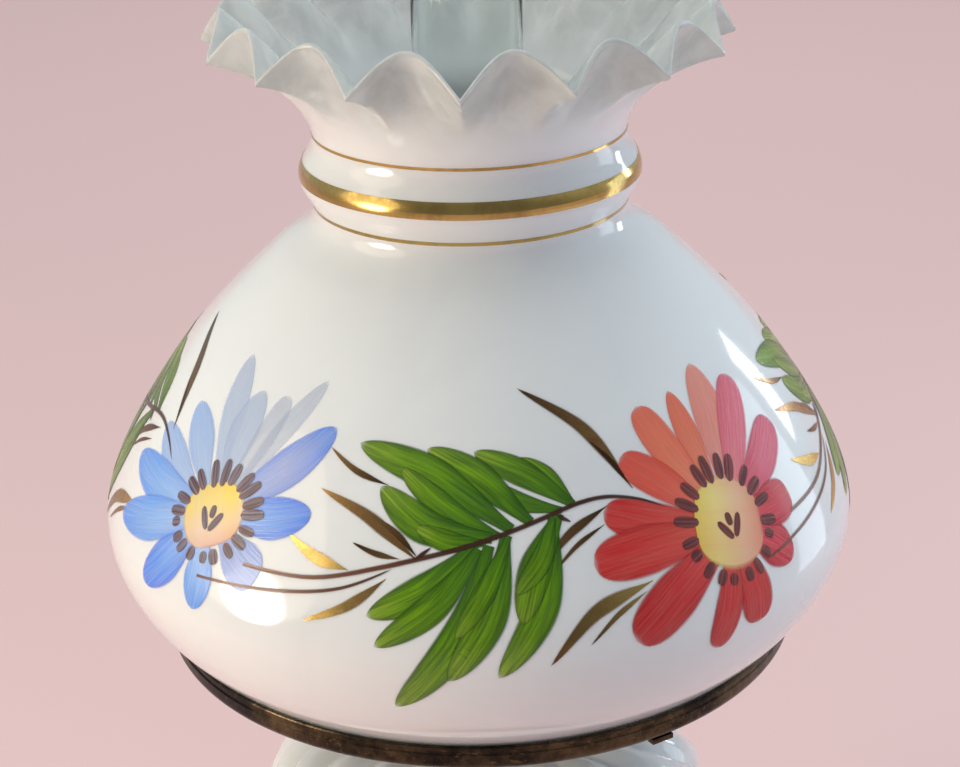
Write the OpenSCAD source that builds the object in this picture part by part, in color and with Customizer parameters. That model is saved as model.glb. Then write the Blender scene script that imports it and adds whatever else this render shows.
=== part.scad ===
// Table oil lamp: a painted milk-glass shade with a crimped top stands in a three-armed brass holder
// above a flat-wick burner, on a swirl-ribbed milk-glass font with a turned brass stem and foot.
// Millimetres, +Z up; the origin is the middle of the face that the lamp stands on.

/* [Foot and stem] */
// Radius of the brass foot
foot_r = 86; // [72:1:104]
// Height of the brass foot
foot_h = 32; // [26:1:40]
// Thickness of the metal of the foot
foot_wall = 3; // [2:0.5:4]
// Thickness of the felt ring under the foot
felt_t = 2; // [1:0.5:4]
// Height of each of the two turned spools
spool_h = 13; // [9:1:18]
// Waist radius of the spools
spool_r = 11.5; // [9.5:0.5:14]
// Height of the round knop between the spools
knop_h = 26; // [21:1:32]
// Radius of the knop
knop_r = 23; // [19:1:28]
// Radius of the rod that ties the foot, the stem and the cup together
rod_r = 4; // [3:0.5:5]

/* [Font] */
// Greatest radius of the glass font
font_r = 98; // [80:1:118]
// Height of the bowl from the rim of the cup to the shoulder
bowl_h = 115; // [95:1:138]
// Thickness of the glass under the grooves
font_wall = 4.5; // [3:0.5:6]
// Number of swirled ribs
rib_count = 22; // [12:1:26]
// Height of the ribs
rib_depth = 3; // [1:0.5:4]
// Turn of the ribs from the bottom of the bowl to its top, in degrees
rib_twist = 75; // [0:5:120]
// Outer radius of the neck
neck_r = 27; // [24:1:32]
// Thickness of the glass of the neck
neck_wall = 5; // [3:0.5:6]
// Height of the neck above the shoulder
neck_h = 4; // [3:1:8]

/* [Cup and collar] */
// Radius of the glass peg that is cemented into the cup
peg_r = 20; // [16:1:24]
// Height of the cup
cup_h = 18; // [14:1:24]
// Thickness of the floor of the cup
cup_floor = 4; // [3:0.5:6]
// Thickness of the cement round the peg and the neck
cement_t = 2; // [1:0.5:3]
// Thickness of the skirt of the collar
collar_wall = 3; // [2:0.5:4]
// Thickness of the top plate of the collar
collar_top = 3; // [2:0.5:4]
// Number of flutes round the collar
flute_count = 40; // [24:2:60]

/* [Burner] */
// Outer radius of the screwed sleeve of the burner
sleeve_r = 15.9; // [15:0.1:19]
// Radius of the air basket
basket_r = 32.5; // [30:0.5:39]
// Height of the air basket
basket_h = 15.7; // [14:0.1:20]
// Thickness of the sheet brass of the burner
sheet_t = 0.8; // [0.6:0.1:1.2]
// Number of air slots round the basket
slot_count = 30; // [16:2:36]
// Width of the woven wick
wick_w = 25.2; // [20:0.2:25.6]
// Thickness of the woven wick
wick_t = 2.6; // [2:0.1:3]
// Length of the wick below the burner
wick_tail = 72; // [40:1:78]
// Pitch radius of the toothed wick wheels
wheel_r = 4.2; // [3.6:0.1:4.8]
// Radius of the wick shaft
shaft_r = 1.25; // [1:0.05:1.5]
// Radius of the wick knob
knob_r = 8.5; // [7:0.5:9]

/* [Chimney] */
// Outer radius of the foot of the chimney
chimney_r = 37.5; // [35:0.5:45]
// Greatest outer radius of the chimney
bulb_r = 45.5; // [42:0.5:50]
// Outer radius of the upper part of the chimney
flue_r = 20.5; // [18:0.5:26]
// Height of the chimney
chimney_h = 305; // [285:1:340]
// Thickness of the glass of the chimney
chimney_wall = 1.8; // [1.4:0.1:2.4]

/* [Shade] */
// Outer radius of the plain foot of the shade, which stands in the holder ring
fitter_r = 124.5; // [103:0.5:150]
// How far the belly of the shade stands out beyond its foot
belly_out = 22.8; // [16:0.2:30]
// Outer radius of the neck under the crimped top
shade_neck_r = 59; // [54:0.5:72]
// Height of the body of the shade from the ring to the neck
body_h = 190; // [158:1:228]
// Thickness of the glass of the shade
shade_wall = 3.2; // [2.4:0.1:4]
// Number of crimps round the top
crimp_count = 16; // [10:1:18]
// Height of the crimps from the middle of the wave
crimp_amp = 8; // [3:0.5:9]
// How far the crimped top spreads beyond the neck
crimp_spread = 35; // [24:1:42]
// Height of the crimped top above the neck
crimp_h = 40.5; // [30:0.5:48]

/* [Shade holder] */
// Height of the rim of the holder ring above the underside of the burner plate
holder_rise = 47; // [39:1:57]
// Height of the holder ring
ring_h = 10.5; // [8:0.5:14]
// Thickness of the metal of the holder ring
ring_wall = 1.6; // [1.2:0.1:2.4]
// Width of the ledge on which the shade stands
ledge_w = 9; // [6:0.5:12]
// Width of the three arms
arm_w = 9; // [6:0.5:12]
// Thickness of the arms and of the hub
arm_t = 2; // [1.5:0.1:3]
// Direction of the first arm, in degrees from +X
arm_turn = 61.5; // [30:0.5:90]

/* [Fits] */
// Gap between pieces that lift apart
seat_gap = 0.3; // [0.2:0.05:0.5]
// Radial clearance of the screwed sleeve and of the turning shaft
run_gap = 0.08; // [0.02:0.01:0.1]

/* [Hidden] */

$fn = 96;
cut = 1;                     // overshoot of a cutting shape beyond the face that it cuts
arm_count = 3;

// Heights, from the table up
foot_z = felt_t;
spool_lower_z = foot_z + foot_h;
knop_z = spool_lower_z + spool_h;
spool_upper_z = knop_z + knop_h;
cup_z = spool_upper_z + spool_h;
bowl_z = cup_z + cup_h;
shoulder_z = bowl_z + bowl_h;
neck_z = shoulder_z + neck_h;
collar_z = neck_z + collar_top;
basket_z = collar_z + seat_gap;
hub_z = basket_z + basket_h;
plate_z = hub_z + arm_t;
gallery_z = plate_z + sheet_t;
chimney_z = gallery_z + seat_gap;
ring_z = hub_z + holder_rise;
ledge_z = ring_z - ring_h + ring_wall;
shade_z = ledge_z + seat_gap;

// Foot
foot_flange = 18;            // width of the flat flange over the felt
foot_band = 5;               // height of the plain band round the edge
foot_top_r = spool_r + 9;
foot_margin = 1.5;           // how far the felt stays inside the edge

// Tie rod
nut_h = 5;
nut_r = rod_r * 2;
washer_t = 1.5;
washer_r = nut_r + 3;
rod_end = 3;                 // length of rod that shows past the nut

// Font
bowl_foot_r = peg_r + 6;
bowl_mouth_r = neck_r + 7;
bowl_mid = 0.47;             // height of the widest place, as a share of the bowl's height
rib_steps = 6;               // facets across each rib
bowl_rows = 13;              // rows of facets in each half of the bowl
cup_bore_r = peg_r + cement_t;
cup_rim_r = cup_bore_r + 9;
bed_t = 0.5;                 // bed of cement between the cup's rim and the glass

// Collar
collar_r = neck_r + cement_t + collar_wall;
collar_bore_r = sleeve_r + run_gap;
flute_depth = 0.8;

// Burner
sleeve_wall = 1.3;
sleeve_drop = 14;            // depth of the sleeve below the burner
flange_w = 3;                // width of the flange of the sleeve and of the basket
tube_wall = 0.6;
tube_gap = 0.45;             // gap between the wick and its tube
tube_w = wick_w + 2 * (tube_gap + tube_wall);
tube_t = wick_t + 2 * (tube_gap + tube_wall);
tube_z = basket_z - sleeve_drop - 6;
tube_top = gallery_z + 16;
wick_proud = 2;              // how far the wick stands out of its tube
draft_z = hub_z - 4;
wheel_gap = 0.3;             // gap between a wheel's teeth and the wick
wheel_w = 2.4;
wheel_x = 7;
wheel_teeth = 14;
shaft_y = -(wick_t / 2 + wheel_gap + wheel_r);
shaft_z = basket_z + basket_h * 0.37;
bush_r = 3;
bush_l = 4;
knob_x = basket_r + 13;
knob_t = 4;
shaft_in = -(tube_w / 2 - 2);
dome_r = 26;
dome_h = 23;
dome_slot_w = tube_w + 3.5;
dome_slot_t = 9;
gallery_hole = dome_r - 1.5;
arm_in = basket_r + flange_w + 0.5;   // inner ends of the holder's arms
arm_lap = 9;                 // how far the hub lies over the arms
gallery_r = max(chimney_r + 3, arm_in + arm_lap / 2);
gallery_lip = 3;
gallery_holes = 24;
spring_count = 4;
spring_w = 9;
spring_h = 16;
spring_t = 0.6;

// Chimney
chimney_foot = 14;           // height of the plain foot
bulb_at = 72;                // height of the widest place above the foot
flue_at = 185;               // height at which the flue becomes straight

// Shade, relative to the rim of the holder ring
belly_r = fitter_r + belly_out;
belly_at = body_h * 0.216;
cone_at = body_h * 0.537;
cone_r = shade_neck_r + (belly_r - shade_neck_r) * 0.654;
groove_at = body_h * 0.853;
groove_r = shade_neck_r + 0.5;
bead_at = body_h * 0.922;
bead_r = shade_neck_r + 5.5;
throat_r = shade_neck_r + 5.5;
throat_at = body_h + 13;
rim_r = shade_neck_r + crimp_spread;
rim_at = body_h + crimp_h;
crimp_turn = -91.5;          // direction of one valley of the crimps
crimp_steps = 8;             // facets across each crimp
crimp_rows = 9;              // rows of facets from the throat to the rim

// Shade holder
ring_bore_r = fitter_r + seat_gap + 0.1;
ring_r = ring_bore_r + ring_wall;
ring_round = 4;              // radius of the rounded lower edge
ledge_r = fitter_r - ledge_w - shade_wall;
hub_r = gallery_r + arm_lap / 2;
hub_hole = basket_r - 1.5;
rivet_r = 1.6;
rivet_head_r = 3;
rivet_head_h = 1.2;
arm_flat_in = hub_r + 1;
arm_out = ring_bore_r;
arm_flat_out = ledge_r - 4;
hub_rivet_at = (arm_in + hub_r) / 2;
ring_rivet_at = ledge_r + 3.5;

function mix(a, b, t) = a + (b - a) * t;

// Point of a cubic curve
function bez(p, t) = p[0] * pow(1 - t, 3) + 3 * p[1] * t * pow(1 - t, 2)
    + 3 * p[2] * t * t * (1 - t) + p[3] * pow(t, 3);

// Points of a cubic curve, without its first one
function curve(p, n) = [for (i = [1 : n]) bez(p, i / n)];

// Unit normal at point i of an outline, to the right of its direction
function side(o, i) =
    let (a = o[max(0, i - 1)], b = o[min(len(o) - 1, i + 1)], d = b - a)
    [d[1], -d[0]] / norm(d);

// The outline moved sideways by w, to the left of its direction
function inset(o, w) = [for (i = [0 : len(o) - 1]) o[i] - w * side(o, i)];

function reversed(o) = [for (i = [len(o) - 1 : -1 : 0]) o[i]];

module wall_of(o, w) {
    rotate_extrude() polygon(concat(o, reversed(inset(o, w))));
}

module tube(r, bore, h) {
    difference() {
        cylinder(r = r, h = h);
        translate([0, 0, -cut]) cylinder(r = bore, h = h + 2 * cut);
    }
}

module around(count, turn = 0) {
    for (i = [0 : count - 1]) rotate([0, 0, turn + i * 360 / count]) children();
}

// A closed grid of points: rows[i][j], joined round j, with flat ends when capped or joined end to end
function grid_faces(rows, columns, ring) = concat(
    [for (i = [0 : rows - (ring ? 1 : 2)], j = [0 : columns - 1])
        let (a = i * columns + j, b = i * columns + (j + 1) % columns, n = rows * columns)
        [a, b, (b + columns) % n]],
    [for (i = [0 : rows - (ring ? 1 : 2)], j = [0 : columns - 1])
        let (a = i * columns + j, b = i * columns + (j + 1) % columns, n = rows * columns)
        [a, (b + columns) % n, (a + columns) % n]]);

// ---- Foot and stem

module foot_outline(drop) {
    top = foot_h - drop;
    polygon(concat(
        [[0, 0], [foot_r - drop, 0], [foot_r - drop, foot_band - drop]],
        curve([[foot_r - drop, foot_band - drop], [foot_r - drop, foot_band + 4 - drop],
            [foot_r * 0.85, foot_band + 5 - drop], [foot_r * 0.68, foot_band + 6 - drop]], 8),
        curve([[foot_r * 0.68, foot_band + 6 - drop], [foot_r * 0.45, foot_band + 8 - drop],
            [foot_top_r + 9, top - 8], [foot_top_r + 4, top - 3]], 10),
        [[foot_top_r, top - 3], [foot_top_r, top], [0, top]]));
}

module foot() {
    color("#8c6a2e") translate([0, 0, foot_z]) difference() {
        rotate_extrude() foot_outline(0);
        difference() {
            rotate_extrude() foot_outline(foot_wall);
            tube(foot_r + cut, foot_r - foot_flange, foot_wall);
        }
        translate([0, 0, -cut]) cylinder(r = foot_r - foot_flange, h = foot_wall);
        cylinder(r = rod_r, h = foot_h + cut);
    }
}

module foot_felt() {
    color("#2f4a36") tube(foot_r - foot_margin, foot_r - foot_flange + foot_margin, felt_t);
}

module rod_washer() {
    color("#9a9a98") translate([0, 0, spool_lower_z - foot_wall - washer_t]) tube(washer_r, rod_r, washer_t);
}

module rod_nut() {
    color("#9a9a98") translate([0, 0, spool_lower_z - foot_wall - washer_t - nut_h]) difference() {
        cylinder(r = nut_r, h = nut_h, $fn = 6);
        translate([0, 0, -cut]) cylinder(r = rod_r, h = nut_h + 2 * cut);
    }
}

module tie_rod() {
    low = spool_lower_z - foot_wall - washer_t - nut_h - rod_end;
    color("#9a9a98") translate([0, 0, low]) cylinder(r = rod_r, h = cup_z + cup_floor - low);
}

module spool(flip) {
    wide = spool_r + 6;
    half = concat([[rod_r, 0], [wide, 0]],
        curve([[wide, 0], [wide + 1.5, spool_h * 0.1], [wide + 1.5, spool_h * 0.2],
            [wide - 1, spool_h * 0.24]], 6),
        curve([[wide - 1, spool_h * 0.24], [spool_r, spool_h * 0.35], [spool_r, spool_h * 0.6],
            [spool_r + 1, spool_h * 0.8]], 10),
        curve([[spool_r + 1, spool_h * 0.8], [spool_r + 4, spool_h * 0.82],
            [spool_r + 4, spool_h * 0.98], [spool_r + 1, spool_h]], 6),
        [[rod_r, spool_h]]);
    translate([0, 0, flip ? spool_h : 0]) mirror([0, 0, flip ? 1 : 0]) rotate_extrude() polygon(half);
}

module stem_spool_lower() {
    color("#a27a34") translate([0, 0, spool_lower_z]) spool(false);
}

module stem_knop() {
    fillet = 0.12;
    color("#a27a34") translate([0, 0, knop_z]) rotate_extrude() polygon(concat(
        [[rod_r, 0], [spool_r + 2, 0], [spool_r + 2, knop_h * fillet]],
        curve([[spool_r + 2, knop_h * fillet], [knop_r * 1.02, knop_h * 0.16],
            [knop_r * 1.1, knop_h * 0.42], [knop_r, knop_h * 0.56]], 10),
        curve([[knop_r, knop_h * 0.56], [knop_r * 0.88, knop_h * 0.74],
            [spool_r + 6, knop_h * 0.84], [spool_r + 2, knop_h * (1 - fillet)]], 8),
        [[spool_r + 2, knop_h], [rod_r, knop_h]]));
}

module stem_spool_upper() {
    color("#a27a34") translate([0, 0, spool_upper_z]) spool(true);
}

// ---- Font

module font_cup() {
    rim = cup_h - bed_t;
    color("#8c6a2e") translate([0, 0, cup_z]) rotate_extrude() polygon(concat(
        [[rod_r, 0], [spool_r + 6, 0]],
        curve([[spool_r + 6, 0], [cup_bore_r - 1, 0], [cup_bore_r + 2.5, cup_floor * 0.2],
            [cup_bore_r + 2.5, cup_floor]], 8),
        curve([[cup_bore_r + 2.5, cup_floor], [cup_bore_r + 2.5, cup_h * 0.6],
            [cup_rim_r - 1, rim - 6], [cup_rim_r, rim - 2.5]], 8),
        [[cup_rim_r, rim], [cup_bore_r, rim], [cup_bore_r, cup_floor], [rod_r, cup_floor]]));
}

module font_cement() {
    color("#d8d2c4") translate([0, 0, cup_z + cup_floor]) {
        tube(cup_bore_r, peg_r, cup_h - cup_floor);
        translate([0, 0, cup_h - cup_floor - bed_t]) tube(bowl_foot_r - 1, peg_r, bed_t);
    }
}

// Outline of the bowl from its foot to its mouth, at the bottoms of the grooves
function bowl_outline(n) =
    let (wide = font_r - rib_depth, mid = bowl_h * bowl_mid)
    concat([[bowl_foot_r, 0]],
        curve([[bowl_foot_r, 0], [wide * 0.66, 0], [wide, mid * 0.42], [wide, mid]], n),
        curve([[wide, mid], [wide, mid + (bowl_h - mid) * 0.52], [wide - 5, bowl_h],
            [bowl_mouth_r, bowl_h]], n));

// Ribs are full round the middle of the bowl and die away at both of its ends
function rib_height(k) = rib_depth * min(1, 3.2 * sin(180 * k));

module bowl_solid() {
    o = bowl_outline(bowl_rows);
    rows = len(o);
    columns = rib_count * rib_steps;
    points = [for (i = [0 : rows - 1], j = [0 : columns - 1])
        let (k = o[i][1] / bowl_h, a = 360 * j / columns, n = side(o, i),
            h = rib_height(i / (rows - 1)) * abs(cos(a * rib_count / 2)), w = a - rib_twist * k,
            r = o[i][0] + h * n[0], z = o[i][1] + (i == 0 || i == rows - 1 ? 0 : h * n[1]))
        [r * cos(w), r * sin(w), z]];
    ends = [[for (j = [0 : columns - 1]) j],
        [for (j = [columns - 1 : -1 : 0]) (rows - 1) * columns + j]];
    faces = concat(grid_faces(rows, columns, false), [for (e = ends) reversed(e)]);
    polyhedron(points, [for (f = faces) reversed(f)], convexity = 6);
}

module bowl_hollow() {
    o = inset(bowl_outline(bowl_rows * 2), font_wall);
    mouth = neck_r - neck_wall;
    inner = [for (p = o) if (p[0] > mouth || p[1] < bowl_h / 2) p];
    rotate_extrude() polygon(concat(
        [[0, inner[0][1]]], inner,
        [[mouth, inner[len(inner) - 1][1]], [mouth, bowl_h + neck_h + cut], [0, bowl_h + neck_h + cut]]));
}

module font_glass() {
    embed = 6;               // depth to which the peg and the neck reach into the bowl
    color("#f1efe9") translate([0, 0, bowl_z]) difference() {
        union() {
            bowl_solid();
            translate([0, 0, cup_floor - cup_h]) cylinder(r = peg_r, h = cup_h - cup_floor + font_wall / 2);
            translate([0, 0, bowl_h - embed]) tube(neck_r, neck_r - neck_wall, embed + neck_h);
        }
        bowl_hollow();
    }
}

module collar_cement() {
    color("#d8d2c4") translate([0, 0, shoulder_z]) tube(neck_r + cement_t, neck_r, neck_h);
}

module font_collar() {
    skirt = neck_h + collar_top - bed_t;
    lining = neck_r - neck_wall - 1;
    color("#b08a3c") difference() {
        translate([0, 0, shoulder_z + bed_t]) linear_extrude(skirt) polygon([
            for (i = [0 : 2 * flute_count - 1])
                let (r = collar_r - (i % 2) * flute_depth, a = 180 * i / flute_count)
                [r * cos(a), r * sin(a)]]);
        translate([0, 0, shoulder_z]) cylinder(r = neck_r + cement_t, h = neck_h);
        translate([0, 0, shoulder_z]) cylinder(r = collar_bore_r, h = skirt + 2 * cut);
    }
    color("#b08a3c") translate([0, 0, neck_z - sleeve_drop]) tube(lining, collar_bore_r, sleeve_drop);
}

// ---- Burner

module burner_sleeve() {
    color("#b08a3c") translate([0, 0, basket_z - sleeve_drop])
        tube(sleeve_r, sleeve_r - sleeve_wall, sleeve_drop + sheet_t);
    color("#b08a3c") translate([0, 0, basket_z + sheet_t])
        tube(sleeve_r + flange_w, sleeve_r - sleeve_wall, sheet_t);
}

module burner_basket() {
    low_r = basket_r - 1;
    side_line = concat([[low_r, 0]],
        curve([[low_r, 0], [basket_r + 0.3, basket_h * 0.2], [basket_r + 0.3, basket_h * 0.6],
            [basket_r - 0.6, basket_h]], 10));
    slot_w = 2;
    slot_z = basket_h * 0.24;
    slot_h = basket_h * 0.44;
    reach = 8;               // length of the shapes that cut through the wall
    color("#b8923f") translate([0, 0, basket_z]) difference() {
        union() {
            wall_of(side_line, sheet_t);
            tube(low_r - 0.2, sleeve_r, sheet_t);
            translate([0, 0, basket_h - sheet_t]) tube(basket_r + flange_w, basket_r - 1.6, sheet_t);
        }
        around(slot_count, 180 / slot_count)
            translate([basket_r - reach / 2, -slot_w / 2, slot_z]) cube([reach, slot_w, slot_h]);
        translate([basket_r - reach / 2, shaft_y, shaft_z - basket_z])
            rotate([0, 90, 0]) cylinder(r = bush_r, h = reach);
    }
}

module draft_plate() {
    hole_rows = [22.5, 27];
    hole_r = 1.1;
    color("#a8823a") translate([0, 0, draft_z]) difference() {
        cylinder(r = basket_r - 1.8, h = sheet_t);
        translate([-tube_w / 2, -tube_t / 2, -cut]) cube([tube_w, tube_t, 3 * cut]);
        for (r = hole_rows) around(round(r * 1.15))
            translate([r, 0, -cut]) cylinder(r = hole_r, h = 3 * cut, $fn = 16);
    }
}

module wick_tube() {
    bore_w = wick_w + 2 * tube_gap;
    bore_t = wick_t + 2 * tube_gap;
    color("#a8823a") difference() {
        translate([-tube_w / 2, -tube_t / 2, tube_z]) cube([tube_w, tube_t, tube_top - tube_z]);
        translate([-bore_w / 2, -bore_t / 2, tube_z - cut])
            cube([bore_w, bore_t, tube_top - tube_z + 2 * cut]);
        for (s = [-1, 1]) translate([s * wheel_x - wheel_w / 2 - 0.4, -tube_t, shaft_z - wheel_r - 0.3])
            cube([wheel_w + 0.8, tube_t, 2 * wheel_r + 0.6]);
    }
}

module shaft_bush() {
    color("#9c9488") translate([basket_r - 2.5, shaft_y, shaft_z]) rotate([0, 90, 0])
        tube(bush_r, shaft_r + run_gap, bush_l);
}

module wick_shaft() {
    color("#8f8a80") translate([shaft_in, shaft_y, shaft_z]) rotate([0, 90, 0])
        cylinder(r = shaft_r, h = knob_x + knob_t - 1 - shaft_in);
}

module wick_wheels() {
    root = wheel_r - 0.9;
    color("#8f8a80") for (s = [-1, 1]) translate([s * wheel_x - wheel_w / 2, shaft_y, shaft_z])
        rotate([0, 90, 0]) difference() {
            linear_extrude(wheel_w) polygon([for (i = [0 : 2 * wheel_teeth - 1])
                let (r = i % 2 == 0 ? wheel_r : root, a = 180 * i / wheel_teeth)
                [r * cos(a), r * sin(a)]]);
            translate([0, 0, -cut]) cylinder(r = shaft_r, h = wheel_w + 2 * cut);
        }
}

module wick_knob() {
    knurls = 32;
    knurl_depth = 0.5;
    boss_r = knob_r * 0.4;
    boss_in = 3;             // how far the boss stands out toward the burner
    color("#b8923f") translate([knob_x, shaft_y, shaft_z]) rotate([0, 90, 0]) difference() {
        union() {
            linear_extrude(knob_t) polygon([for (i = [0 : 2 * knurls - 1])
                let (r = knob_r - (i % 2) * knurl_depth, a = 180 * i / knurls) [r * cos(a), r * sin(a)]]);
            translate([0, 0, -boss_in]) cylinder(r = boss_r, h = knob_t + boss_in + 1);
        }
        translate([0, 0, -boss_in - cut]) cylinder(r = shaft_r, h = knob_t + boss_in - 1 + cut);
        translate([0, 0, knob_t - 0.8]) tube(knob_r - 1.5, boss_r, 2 * cut);
    }
}

module wick() {
    low = basket_z - wick_tail;
    color("#ece6d6") translate([-wick_w / 2, -wick_t / 2, low])
        cube([wick_w, wick_t, tube_top + wick_proud - low]);
}

module gallery_plate() {
    hole_r = 1.4;
    hole_at = (dome_r + chimney_r) / 2 - 0.4;
    color("#b8923f") translate([0, 0, plate_z]) difference() {
        union() {
            tube(gallery_r, gallery_hole, sheet_t);
            tube(gallery_r, gallery_r - sheet_t, gallery_lip);
        }
        around(gallery_holes) translate([hole_at, 0, -cut]) cylinder(r = hole_r, h = 3 * cut, $fn = 16);
    }
}

module gallery_springs() {
    rim_in = gallery_r - sheet_t;
    heel = sqrt(rim_in * rim_in - spring_w * spring_w / 4) - 0.1;
    waist = chimney_r + seat_gap + spring_t;
    line = concat([[heel, 0]],
        curve([[heel, 0], [heel, spring_h * 0.3], [waist, spring_h * 0.4],
            [waist, spring_h * 0.65]], 8),
        curve([[waist, spring_h * 0.65], [waist, spring_h * 0.8],
            [waist + 0.7, spring_h * 0.9], [waist + 1.5, spring_h]], 6));
    color("#c49c48") translate([0, 0, gallery_z]) around(spring_count, 45)
        rotate([90, 0, 0]) translate([0, 0, -spring_w / 2])
            linear_extrude(spring_w) polygon(concat(line, reversed(inset(line, spring_t))));
}

module flame_dome() {
    line = concat([[dome_r + 1.5, 0], [dome_r + 1.5, sheet_t], [dome_r, sheet_t]],
        curve([[dome_r, sheet_t], [dome_r, dome_h * 0.6], [dome_r - 6, dome_h * 0.92],
            [dome_r * 0.35, dome_h]], 12));
    inner = concat([[dome_r - sheet_t, 0]],
        curve([[dome_r - sheet_t, 0], [dome_r - sheet_t, dome_h * 0.57],
            [dome_r - 7, dome_h * 0.92 - sheet_t], [dome_r * 0.33, dome_h - sheet_t]], 12));
    color("#c49c48") translate([0, 0, gallery_z]) difference() {
        rotate_extrude() polygon(concat(line, [[0, dome_h], [0, dome_h - sheet_t]], reversed(inner)));
        translate([-dome_slot_w / 2, -dome_slot_t / 2, dome_h * 0.5])
            cube([dome_slot_w, dome_slot_t, dome_h]);
    }
}

// ---- Shade holder

module rivet_holes(r, z) {
    around(arm_count, arm_turn) translate([r, 0, z]) cylinder(r = rivet_r, h = 4 * arm_t, center = true);
}

module holder_hub() {
    color("#6e5a34") difference() {
        translate([0, 0, hub_z]) tube(hub_r, hub_hole, arm_t);
        rivet_holes(hub_rivet_at, hub_z);
    }
}

module holder_arm(i) {
    end_z = ring_z - ring_h - arm_t;
    low = hub_z - arm_t;
    line = concat([[arm_in, low], [arm_flat_in, low]],
        curve([[arm_flat_in, low], [mix(arm_flat_in, arm_flat_out, 0.55), low],
            [mix(arm_flat_in, arm_flat_out, 0.6), end_z], [arm_flat_out, end_z]], 20),
        [[arm_out, end_z]]);
    color("#6e5a34") rotate([0, 0, arm_turn + i * 360 / arm_count]) difference() {
        rotate([90, 0, 0]) translate([0, 0, -arm_w / 2]) linear_extrude(arm_w)
            polygon(concat(line, reversed(inset(line, arm_t))));
        for (r = [hub_rivet_at, ring_rivet_at]) translate([r, 0, low - arm_t])
            cylinder(r = rivet_r, h = ring_z - low);
    }
}

module holder_arm_1() { holder_arm(0); }
module holder_arm_2() { holder_arm(1); }
module holder_arm_3() { holder_arm(2); }

module rivet(grip) {
    cylinder(r = rivet_r, h = grip);
    translate([0, 0, -rivet_head_h]) cylinder(r = rivet_head_r, h = rivet_head_h);
}

module holder_rivets() {
    color("#5d4c2c") around(arm_count, arm_turn) {
        translate([hub_rivet_at, 0, hub_z - arm_t]) rivet(2 * arm_t);
        translate([ring_rivet_at, 0, ring_z - ring_h - arm_t]) rivet(arm_t + ring_wall);
    }
}

module holder_ring() {
    bead = 1.1;
    corner = ring_r - ring_round;
    outline = concat(
        [[ledge_r, -ring_h], [corner, -ring_h]],
        [for (i = [1 : 8]) [corner + ring_round * sin(90 * i / 8),
            -ring_h + ring_round * (1 - cos(90 * i / 8))]],
        [[ring_r, -bead]],
        [for (i = [1 : 8]) [ring_r - bead * (1 - cos(22.5 * i)) * 0.7, -bead + bead * sin(22.5 * i)]],
        [[ring_bore_r, -bead], [ring_bore_r, ledge_z - ring_z], [ledge_r, ledge_z - ring_z]]);
    color("#5a4526") difference() {
        translate([0, 0, ring_z]) rotate_extrude($fn = 128) polygon(outline);
        rivet_holes(ring_rivet_at, ledge_z - ring_wall);
    }
}

// ---- Glass that lifts off

module chimney() {
    line = concat([[chimney_r, 0], [chimney_r, chimney_foot]],
        curve([[chimney_r, chimney_foot], [chimney_r, chimney_foot + 14], [bulb_r, bulb_at - 30],
            [bulb_r, bulb_at]], 12),
        curve([[bulb_r, bulb_at], [bulb_r, bulb_at + 40], [flue_r, flue_at - 55], [flue_r, flue_at]], 18),
        [[flue_r, chimney_h]]);
    color("#dfe8ea", 0.35) translate([0, 0, chimney_z]) wall_of(line, chimney_wall);
}

// Outline of the body of the shade, from its foot to its throat, measured from the ring's rim
function shade_outline() = concat(
    [[fitter_r, shade_z - ring_z], [fitter_r, 0]],
    curve([[fitter_r, 0], [fitter_r + 3, 1.5], [belly_r, belly_at * 0.5], [belly_r, belly_at]], 12),
    curve([[belly_r, belly_at], [belly_r, mix(belly_at, cone_at, 0.25)],
        [mix(cone_r, belly_r, 0.56), mix(belly_at, cone_at, 0.61)], [cone_r, cone_at]], 12),
    curve([[cone_r, cone_at], [mix(cone_r, groove_r, 0.23), mix(cone_at, groove_at, 0.3)],
        [mix(cone_r, groove_r, 0.61), mix(cone_at, groove_at, 0.63)],
        [mix(cone_r, groove_r, 0.73), mix(cone_at, groove_at, 0.735)]], 8),
    curve([[mix(cone_r, groove_r, 0.73), mix(cone_at, groove_at, 0.735)],
        [mix(cone_r, groove_r, 0.835), mix(cone_at, groove_at, 0.82)],
        [groove_r + 0.5, mix(cone_at, groove_at, 0.88)], [groove_r, groove_at]], 8),
    curve([[groove_r, groove_at], [groove_r, groove_at + 4], [bead_r, bead_at - 6],
        [bead_r, bead_at]], 8),
    curve([[bead_r, bead_at], [bead_r, bead_at + 6], [shade_neck_r, body_h - 7],
        [shade_neck_r, body_h]], 8),
    curve([[shade_neck_r, body_h], [shade_neck_r, body_h + 5], [throat_r - 2.5, throat_at - 4],
        [throat_r, throat_at]], 6));

// Line along which the crimped top rises, in the middle of its glass
function crimp_line(t) =
    let (start = [throat_r, throat_at], end = [rim_r, rim_at], slope = [2.5, 4] / norm([2.5, 4]),
        p = [start, start + 9.4 * slope, [mix(throat_r, rim_r, 0.53), mix(throat_at, rim_at, 0.72)], end],
        outside = t < 0 ? start + slope * t : bez(p, t),
        next = t < 0 ? outside + slope : bez(p, min(1, t) + 0.001),
        d = (next - outside) / norm(next - outside), n = [d[1], -d[0]])
    [outside - n * shade_wall / 2, n];

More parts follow.
